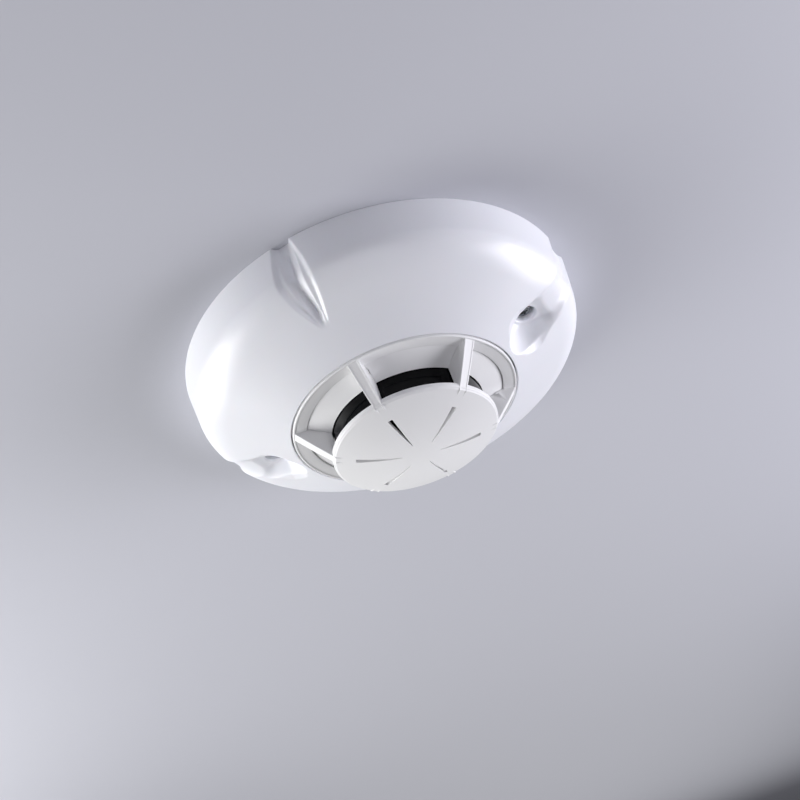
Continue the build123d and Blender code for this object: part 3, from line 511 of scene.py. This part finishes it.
@dataclass
class BaseCover:
    """Domed cover with two screw pockets on X and two boat-shaped grip grooves on Y, in millimetres."""

    rim_r: float = field(default_factory=lambda: node_box("mounting_plate")[1][0] + 4.0)
    skirt_top: tuple[float, float] = (78.4, 12.9)
    shoulder: tuple[float, float] = (77.7, 18.7)
    face_start: tuple[float, float] = (68.0, 23.5)
    face_slope: float = 0.5
    opening_r: float = 45.75
    lip_round: float = 0.5
    collar_r: float = 48.6
    collar_z: float = 27.5
    wall: float = 3.2
    pocket_wall: float = 2.2
    screw_r: float = field(
        default_factory=lambda: np.mean([corner[0] for corner in node_box("cover_screw_right")]))
    pocket_floor: float = 21.0
    pocket_half: float = 13.3
    pocket_end_r: float = 49.4
    groove_depth: float = 1.7
    dish_depth: float = 2.4
    floor_half: float = 5.2
    brim_half: float = 10.2
    mouth_half: float = 7.2
    well_r: float = 4.2
    shank_hole_r: float = 2.3
    boss_r: float = 6.8
    boss_z: float = 12.3
    grip_tip: float = 37.5
    boat_depth: float = 1.1
    vee_depth: float = 2.4
    rim_most: float = 2.4
    row_step: float = 0.5

    def outline(self) -> tuple[np.ndarray, np.ndarray, np.ndarray]:
        """Outer line from the rim to the opening at even steps.

        Returns:
            Points (r, z), unit outward normals, and the distance from the rim of each point.
        """
        t = np.linspace(0, 1, 60)[:, None]
        start, corner, end = (np.array(p) for p in (self.skirt_top, self.shoulder, self.face_start))
        bend = (1 - t) ** 2 * start + 2 * t * (1 - t) * corner + t**2 * end
        stop_r = self.opening_r + self.lip_round
        stop = (stop_r, self.face_start[1] + self.face_slope * (self.face_start[0] - stop_r))
        line = np.vstack([[(self.rim_r, 0.0)], bend, [stop]])
        run = np.concatenate([[0], np.cumsum(np.linalg.norm(np.diff(line, axis=0), axis=1))])
        s = np.linspace(0, run[-1], int(run[-1] / self.row_step) + 1)
        points = np.column_stack([np.interp(s, run, line[:, i]) for i in (0, 1)])
        slope = np.gradient(points, axis=0)
        normals = np.column_stack([slope[:, 1], -slope[:, 0]])
        return points, normals / np.linalg.norm(normals, axis=1)[:, None], s

    def columns(self) -> np.ndarray:
        """Angles of the mesh's columns, close together across the pockets and grooves.

        Returns:
            Angles in radians, rising, over one turn.
        """
        angles = []
        for quarter, half, fine in ((0, 17, 0.36), (90, 8, 0.25), (180, 17, 0.36), (270, 8, 0.25)):
            gap = 17 if half == 8 else 8
            dense = np.arange(quarter - half, quarter + half, fine)
            coarse = np.linspace(quarter + half, quarter + 90 - gap, 40, endpoint=False)
            angles += [dense, coarse]
        return np.radians(np.concatenate(angles))

    def grip_depth(self, s: np.ndarray, q: np.ndarray) -> np.ndarray:
        """Depth of a grip groove, a shallow boat with a vee along its middle.

        Args:
            s: distance from the rim.
            q: distance sideways from the groove's middle.

        Returns:
            Depth below the plain surface.
        """
        along = np.clip(s / self.grip_tip, 0, 1)
        boat = (4.0 + 3.9 * np.sin(math.pi * along * 0.93)) * (1 - along**3) + 1.9 * along**3
        vee = 3.5 * (1 - along**2.4) + 0.9 * along**2.4
        side = np.abs(q)
        shallow = self.boat_depth * smoothstep(1.0, 0.66, side / boat)
        deep = self.vee_depth * np.clip(1.08 - np.sqrt((side / vee) ** 2 + 0.0064), 0, 1)
        rim_most = self.rim_most + smoothstep(3, 9, s) * (self.boat_depth + self.vee_depth)
        return np.minimum((shallow + deep) * smoothstep(self.grip_tip, self.grip_tip - 6, s), rim_most)

    def pocket_depth(self, x: np.ndarray, y: np.ndarray, z: np.ndarray) -> np.ndarray:
        """Depth of a screw pocket, which narrows outwards into a groove that runs to the rim.

        Args:
            x: distance from the head's axis towards the screw.
            y: distance sideways from the screw's line.
            z: height of the plain surface.

        Returns:
            Depth below the plain surface.
        """
        outward = np.clip((self.rim_r - 1.0 - x) / (self.rim_r - 1.0 - self.screw_r), 0, 1)
        half = self.mouth_half + (self.pocket_half - self.mouth_half) * outward**2
        side = np.abs(y) / half
        back = np.clip((self.screw_r - x) / (self.screw_r - self.pocket_end_r), 0, None)
        reach = np.clip((side**2.6 + back**2.6) ** (1 / 2.6), 0, 1)
        dish = self.groove_depth + (self.dish_depth - self.groove_depth) * smoothstep(77, 66, x)
        dish = dish * (1 - reach**3.2)
        off = np.sqrt(np.minimum(x - self.screw_r, 0) ** 2 + y**2)
        down = np.clip((self.brim_half - off) / (self.brim_half - self.floor_half), 0, 1)
        run_out = smoothstep(76, 62, x)
        well = np.clip(z - self.pocket_floor, 0, None) * (1 - (1 - down) ** 1.7) * run_out
        deepest = 0.5 * (dish + well + np.sqrt((dish - well) ** 2 + 0.1)) - 0.158
        return np.clip(deepest, 0, None) * (x > 0)

    def depth(self, points: np.ndarray, s: np.ndarray, angles: np.ndarray) -> np.ndarray:
        """Depth of all the pockets and grooves over the whole cover.

        Args:
            points: outline points (r, z), one per row.
            s: distance of each row from the rim.
            angles: column angles in radians.

        Returns:
            Depth at each row and column.
        """
        r, z = points[:, :1], points[:, 1:]
        total = np.zeros((len(points), len(angles)))
        for turn in (0.0, math.pi):
            x, y = r * np.cos(angles - turn), r * np.sin(angles - turn)
            total = np.maximum(total, self.pocket_depth(x, y, z))
        for turn in (math.pi / 2, -math.pi / 2):
            off = (angles - turn + math.pi) % (2 * math.pi) - math.pi
            total = np.maximum(total, self.grip_depth(s[:, None], r * off))
        return total

    def build(self) -> bpy.types.Object:
        """Builds the shell, its bosses and its screw holes.

        Returns:
            The cover.
        """
        points, normals, s = self.outline()
        angles = self.columns()
        depth = self.depth(points, s, angles)
        upright = smoothstep(12, 26, s)[:, None]
        push_r = -normals[:, :1] * (1 - upright)
        push_z = -normals[:, 1:] * (1 - upright) - upright
        outer = [(points[i, 0] + depth[i] * push_r[i],
                  np.maximum(points[i, 1] + depth[i] * push_z[i], 0.0)) for i in range(len(s))]
        lip_z = points[-1, 1] - self.lip_round * 0.9
        rounding = arc((self.opening_r + self.lip_round, lip_z), self.lip_round, 100, 180, 5)
        collar = rounding + [(self.opening_r, 30.0), (self.opening_r, self.collar_z),
                             (self.collar_r, self.collar_z), (self.collar_r, 28.6)]
        collar_rows = [(np.full(len(angles), r), np.full(len(angles), z)) for r, z in collar]
        inner = []
        for i in range(len(s) - 1, -1, -3):
            base = points[i] - normals[i] * self.wall
            if base[0] < self.collar_r + 0.3:
                continue
            extra = np.clip(depth[i] + self.pocket_wall - self.wall, 0, None)
            extra = extra * smoothstep(5, 10, base[1])
            inner.append((base[0] + extra * push_r[i], np.maximum(base[1] + extra * push_z[i], 0.0)))
        foot = np.full(len(angles), self.rim_r - self.wall)
        rows = outer + collar_rows + inner + [(foot, np.zeros(len(angles)))]
        grid = np.array([np.column_stack([r * np.cos(angles), r * np.sin(angles), z]) for r, z in rows])
        cover = add_mesh("base_cover", grid.reshape(-1, 3), ring_faces(len(rows), len(angles)))
        for side in (-1, 1):
            self.drill(cover, side * self.screw_r)
        shade(cover, 38)
        dress(cover, COVER_ABS)
        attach(cover, "cover")
        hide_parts("dome_cover")
        return cover

    def drill(self, cover: bpy.types.Object, x: float) -> None:
        """Adds a screw boss at x and opens its well and shank hole.

        Args:
            cover: the shell.
            x: where the screw stands.
        """
        floor, seat = self.pocket_floor, node_box("screw_washer_right")[0][2]
        boss = lathe("boss", [(0, self.boss_z), (self.boss_r - 0.4, self.boss_z),
                              (self.boss_r, self.boss_z + 0.4), (self.boss_r, floor - 0.9),
                              (0, floor - 0.9)], 64, (x, 0))
        rim = arc((self.well_r + 0.7, floor - 0.65), 0.7, 180, 95, 6)
        well = lathe("well", [(0, self.boss_z - 1), (self.shank_hole_r, self.boss_z - 1),
                              (self.shank_hole_r, seat), (self.well_r, seat), *rim,
                              (self.well_r + 0.7, floor + 1.2), (0, floor + 1.2)], 64, (x, 0))
        combine(cover, [boss], Cut.UNION)
        combine(cover, [well], Cut.DIFFERENCE)


# ---- Sensing head ----------------------------------------------------------------------------------

@dataclass
class HeadCover:
    """Outer ring, six sloping ribs and slotted cap of the sensing head, in millimetres."""

    ring_r: float = 45.3
    ring_in_r: float = 39.8
    ring_top: float = 35.0
    ring_flat: float = 34.75
    ring_under: float = 33.2
    skirt_in_r: float = 43.3
    skirt_z: float = 27.0
    cap_r: float = 33.0
    cap_top: float = field(default_factory=lambda: node_box("head_cover")[1][2])
    cap_arc_r: float = 94.2
    cap_wall: float = 2.3
    edge_round: float = 0.8
    rib_count: int = 6
    rib_start_deg: float = 30.0
    rib_half_out: float = 2.3
    rib_half_in: float = 1.75
    bead: float = 0.22
    bead_w: float = 0.8
    slot_in_r: float = 7.6
    slot_out_r: float = 24.6
    slot_half: float = 1.05
    light_r: float = 24.4
    deck_foot_z: float = 34.2
    deck_foot_r: float = 39.5
    deck_top_r: float = 30.7
    pillar_at_r: float = 36.4
    pillar_r: float = 2.2
    pillar_z: float = 23.5

    def cap_z(self, r: float) -> float:
        """Height of the cap's top at radius r."""
        return self.cap_top - self.cap_arc_r + math.sqrt(self.cap_arc_r**2 - r**2)

    def deck_z(self, r: float) -> float:
        """Height of the cone inside the ring at radius r, from the cone's own box."""
        rise = node_box("vent_deck")[1][2] - self.deck_foot_z
        return self.deck_foot_z + (self.deck_foot_r - r) * rise / (self.deck_foot_r - self.deck_top_r)

    def ring(self) -> bpy.types.Object:
        """Builds the ring with its bright outer lip.

        Returns:
            The ring.
        """
        outline = [
            (self.skirt_in_r, self.skirt_z), (self.ring_r - 0.2, self.skirt_z),
            (self.ring_r, self.skirt_z + 0.2),
            *arc((self.ring_r - 0.55, self.ring_top - 0.55), 0.55, 0, 90, 7),
            *arc((self.ring_r - 0.75, self.ring_top - 0.3), 0.3, 90, 150, 4),
            (self.ring_r - 1.25, self.ring_flat),
            (self.ring_in_r + 0.25, self.ring_flat),
            *arc((self.ring_in_r + 0.25, self.ring_flat - 0.25), 0.25, 110, 180, 4),
            (self.ring_in_r, self.ring_under), (self.skirt_in_r, self.ring_under),
        ]
        return lathe("head_ring", outline)

    def cap(self) -> bpy.types.Object:
        """Builds the domed cap with its rounded edge.

        Returns:
            The cap, without slots.
        """
        edge = self.edge_round
        top = [(r, self.cap_z(r)) for r in np.linspace(self.cap_r - edge * 1.15, 0, 26)]
        under_r = np.linspace(0, self.cap_r - 0.35, 12)
        under = [(r, self.cap_z(r) - self.cap_wall) for r in under_r]
        low = self.cap_z(self.cap_r) - self.cap_wall
        side_z = self.cap_z(self.cap_r) - edge
        outline = [*under, (self.cap_r, low + 0.35), (self.cap_r, side_z),
                   *arc((self.cap_r - edge, side_z), edge, 12, 72, 6), *top]
        return lathe("head_cap", outline)

    def rib(self, angle: float) -> bpy.types.Object:
        """Builds one rib, with a raised bead along each edge of its top.

        Args:
            angle: direction of the rib in radians.

        Returns:
            The rib.
        """
        stations = [
            (self.ring_r - 0.35, self.ring_top - 0.25), (self.ring_r - 0.9, self.ring_top + 0.35),
            (39.6, 41.0), (self.cap_r + 1.0, 47.15), (self.cap_r + 0.2, 48.0),
            (self.cap_r - 0.9, self.cap_z(self.cap_r - 0.9) + 0.42),
            (30.6, self.cap_z(30.6) + 0.16), (28.7, self.cap_z(28.7) - 0.12),
        ]
        sections = []
        for r, top in stations:
            share = (r - 28.7) / (self.ring_r - 28.7)
            half = self.rib_half_in + (self.rib_half_out - self.rib_half_in) * share
            foot_r = max(r, 30.85)
            low = self.deck_z(foot_r) + 0.1 if r < self.ring_in_r - 0.1 else self.ring_under + 0.5
            if r < self.cap_r:
                low = self.cap_z(r) - 1.6
            w, b = half, self.bead_w
            across = [(-w, low), (-w, top - 0.3), (-w + 0.12, top - 0.04), (-w + b * 0.35, top),
                      (-w + b * 0.7, top - 0.03), (-w + b, top - self.bead), (0.0, top - self.bead)]
            half_line = across[:-1]
            line = [*half_line, across[-1], *[(-q, h) for q, h in reversed(half_line)]]
            sections.append(np.array([(r, q, h) for q, h in line]))
        web = self.web()
        turn = np.array([[math.cos(angle), -math.sin(angle), 0], [math.sin(angle), math.cos(angle), 0],
                         [0, 0, 1]])
        piece = loft("rib", [section @ turn.T for section in sections])
        combine(piece, [add_mesh("web", web[0] @ turn.T, web[1])], Cut.UNION)
        return piece

    def web(self) -> tuple[np.ndarray, list[tuple[int, ...]]]:
        """Web under a rib's top that fills the corner between cone, drum and cap.

        Returns:
            Points along +X and the faces that join them.
        """
        half = self.rib_half_in - 0.02
        side = [(33.6, self.deck_z(33.6) + 0.12), (33.6, 46.9), (32.4, self.cap_z(32.4) - 1.2),
                (30.85, self.cap_z(30.85) - 1.5), (30.85, self.deck_z(30.85) + 0.1)]
        count = len(side)
        points = np.array([(r, q, z) for q in (-half, half) for r, z in side])
        faces = [tuple(range(count)), tuple(reversed(range(count, 2 * count)))]
        for i in range(count):
            k = (i + 1) % count
            faces.append((i, i + count, k + count, k))
        return points, faces

    def prism(self, name: str, outline: list[tuple[float, float]], angle: float, low: float,
              high: float) -> bpy.types.Object:
        """Upright prism, used as a cutter.

        Args:
            name: object name.
            outline: points (x, y), anticlockwise, before turning.
            angle: turn about Z in radians.
            low: bottom height.
            high: top height.

        Returns:
            The prism.
        """
        c, s = math.cos(angle), math.sin(angle)
        flat = [(x * c - y * s, x * s + y * c) for x, y in outline]
        rows = [np.array([(x, y, z) for x, y in flat]) for z in (low, high)]
        return loft(name, rows)

    def slots(self) -> list[bpy.types.Object]:
        """Builds the cutters of the cap's air slots and of the lamp's window.

        Returns:
            The cutters.
        """
        low, high = self.cap_top - 12, self.cap_top + 2
        wide = [(self.slot_in_r, 0.14), (self.slot_in_r, -0.14), (self.slot_out_r, -self.slot_half),
                (self.slot_out_r + 0.25, -self.slot_half + 0.25),
                (self.slot_out_r + 0.25, self.slot_half - 0.25), (self.slot_out_r, self.slot_half)]
        fine = [(self.slot_in_r, 0.12), (self.slot_in_r, -0.12), (self.light_r - 1.9, -0.4),
                (self.light_r - 1.9, 0.4)]
        window = [(self.light_r - 1.4, 0), (self.light_r, -1.1), (self.light_r + 1.4, 0),
                  (self.light_r, 1.1)]
        cutters = []
        for i in range(self.rib_count):
            angle = math.radians(self.rib_start_deg + 60 * i)
            lamp_side = abs(math.degrees(angle) - 90) < 1
            if not lamp_side:
                cutters.append(self.prism("slot", wide, angle, low, high))
                continue
            cutters.append(self.prism("slot_fine", fine, angle, low, high))
            cutters.append(self.prism("window", window, angle, low, high))
        return cutters

    def build(self) -> bpy.types.Object:
        """Joins ring, cap, ribs and pillars into one moulding and cuts the slots.

        Returns:
            The head cover.
        """
        ring = self.ring()
        ring.name = "head_cover_moulding"
        cap = self.cap()
        combine(cap, self.slots(), Cut.DIFFERENCE)
        turns = [math.radians(self.rib_start_deg + 60 * i) for i in range(self.rib_count)]
        ribs = [self.rib(angle) for angle in turns]
        pillars = []
        for angle in turns[::2]:
            top = self.deck_z(self.pillar_at_r) + 0.8
            at = (self.pillar_at_r * math.cos(angle), self.pillar_at_r * math.sin(angle))
            pillars.append(lathe("pillar", [(0, self.pillar_z), (self.pillar_r - 0.3, self.pillar_z),
                                            (self.pillar_r, self.pillar_z + 0.3),
                                            (self.pillar_r, top), (0, top)], 40, at))
        combine(ring, [cap, *ribs, *pillars], Cut.UNION)
        shade(ring, 21)
        dress(ring, HEAD_ABS)
        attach(ring, "head")
        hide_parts("head_cover")
        return ring


# ---- CAD nodes that stay ---------------------------------------------------------------------------

@dataclass(frozen=True)
class KeptNodes:
    """The CAD nodes that keep their own shape and get a finish."""

    finishes: tuple[tuple[Finish, tuple[str, ...]], ...] = (
        (HEAD_ABS, ("vent_deck", "head_housing")),
        (DRUM_PC, ("sensing_drum",)),
        (SCREW_STEEL, ("cover_screw_left", "cover_screw_right",
                       "screw_washer_left", "screw_washer_right")),
        (ZINC_STEEL, ("socket_screws", "terminal_screws", "terminal_clamps", "board_screws",
                      "block_screws", "head_screws", "thermistor_leads")),
        (BRASS, ("cover_inserts",)),
        (BRONZE, ("contact_springs", "contact_blades")),
        (RUBBER, ("edge_gasket", "head_seal")),
        (PLATE_ABS, ("mounting_plate",)),
        (SOCKET_PBT, ("socket_body",)),
        (BOARD, ("base_board", "head_board")),
        (POLYAMIDE, ("terminal_block",)),
        (CHIP_EPOXY, ("isolator_relay", "head_processor", "head_resistors")),
        (CAN, ("base_capacitor", "head_capacitors")),
        (WIRE_PVC, ("link_wires",)),
        (LABEL, ("rating_label",)),
        (LAMP, ("indicator_led",)),
        (LIGHT_PIPE, ("light_guide",)),
        (BEAD, ("thermistor_bead",)),
    )

    def dress_all(self) -> int:
        """Gives each kept node its finish.

        Returns:
            The number of nodes dressed.
        """
        count = 0
        for finish, names in self.finishes:
            for name in names:
                dress(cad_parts[name], finish)
                count += 1
        return count


# ---- Studio ----------------------------------------------------------------------------------------

@dataclass
class Studio:
    """Pale floor, soft lights and camera, in metres; the floor's gap under the object is in mm."""

    aim: tuple[float, float, float] = (0.0, 0.0, 0.020)
    azimuth_deg: float = -15.79
    elevation_deg: float = 35.21
    distance: float = 0.4755
    roll_deg: float = 159.99
    lens_mm: float = 54.0
    shift: tuple[float, float] = (0.005, -0.02)
    floor_half: float = 3.0
    floor_gap: float = 0.05
    world: str = "#e9eaf2"
    world_strength: float = 0.05

    def direction(self, azimuth_deg: float, elevation_deg: float) -> Vector:
        """Unit vector towards a place seen at that azimuth and elevation.

        Args:
            azimuth_deg: turn about +Z from -Y, in degrees.
            elevation_deg: height above the floor, in degrees.

        Returns:
            The direction.
        """
        a, e = math.radians(azimuth_deg), math.radians(elevation_deg)
        return Vector((math.sin(a) * math.cos(e), -math.cos(a) * math.cos(e), math.sin(e)))

    def camera(self) -> None:
        """Places the camera."""
        data = bpy.data.cameras.new("camera")
        data.lens = self.lens_mm
        data.sensor_width = 36.0
        data.shift_x, data.shift_y = self.shift
        data.clip_start = 0.01
        eye = bpy.data.objects.new("camera", data)
        back = self.direction(self.azimuth_deg, self.elevation_deg)
        eye.location = Vector(self.aim) + back * self.distance
        level = (-back).to_track_quat("-Z", "Y")
        roll = Quaternion((0, 0, 1), math.radians(self.roll_deg))
        eye.rotation_mode = "QUATERNION"
        eye.rotation_quaternion = level @ roll
        bpy.context.scene.collection.objects.link(eye)
        bpy.context.scene.camera = eye

    def lamp(self, name: str, azimuth_deg: float, elevation_deg: float, distance: float,
             size: float, watts: float, colour: str) -> None:
        """Places one soft square light that faces the object.

        Args:
            name: light name.
            azimuth_deg: where it stands, as for the camera.
            elevation_deg: its height above the floor.
            distance: from the aim point.
            size: edge of the square.
            watts: power.
            colour: sRGB hex.
        """
        data = bpy.data.lights.new(name, "AREA")
        data.shape = "SQUARE"
        data.size = size
        data.energy = watts
        data.color = linear(colour)[:3]
        light = bpy.data.objects.new(name, data)
        toward = self.direction(azimuth_deg, elevation_deg)
        light.location = Vector(self.aim) + toward * distance
        light.rotation_mode = "QUATERNION"
        light.rotation_quaternion = toward.to_track_quat("Z", "Y")
        bpy.context.scene.collection.objects.link(light)

    def build(self) -> None:
        """Builds floor, world, lights and camera."""
        h = self.floor_half / MM
        corners = [(x, y, -self.floor_gap) for x, y in ((-h, -h), (h, -h), (h, h), (-h, h))]
        floor = add_mesh("floor", np.array(corners), [(0, 1, 2, 3)])
        dress(floor, Finish("painted_board_pale_grey", "#c3c4cb", "#bfc0c7", 0.6, 0.03, cloud_mm=400,
                            grain_mm=1.0, relief_mm=0.002))
        world = bpy.data.worlds.new("studio")
        world.use_nodes = True
        world.node_tree.nodes["Background"].inputs[0].default_value = linear(self.world)
        world.node_tree.nodes["Background"].inputs[1].default_value = self.world_strength
        bpy.context.scene.world = world
        self.lamp("left_softbox", 82, 15, 0.65, 0.5, 5.6, "#ffffff")
        self.lamp("right_softbox", -114, 20, 0.8, 0.5, 7.0, "#f8f7ff")
        self.lamp("front_fill", -16, 42, 1.2, 0.9, 3.7, "#f8f7ff")
        self.lamp("far_fill", 165, 25, 0.9, 0.6, 1.4, "#ffffff")
        bpy.context.scene.view_settings.view_transform = "Standard"
        self.camera()


def main() -> None:
    """Builds the detector's pieces and the studio, and reports each."""
    logging.basicConfig(level=logging.INFO, format="%(name)s: %(message)s")
    Studio().build()
    cover = BaseCover().build()
    log.info("%s: %d faces", cover.name, len(cover.data.polygons))
    head = HeadCover().build()
    log.info("%s: %d faces", head.name, len(head.data.polygons))
    log.info("%d kept nodes dressed", KeptNodes().dress_all())


if __name__ == "__main__":
    main()
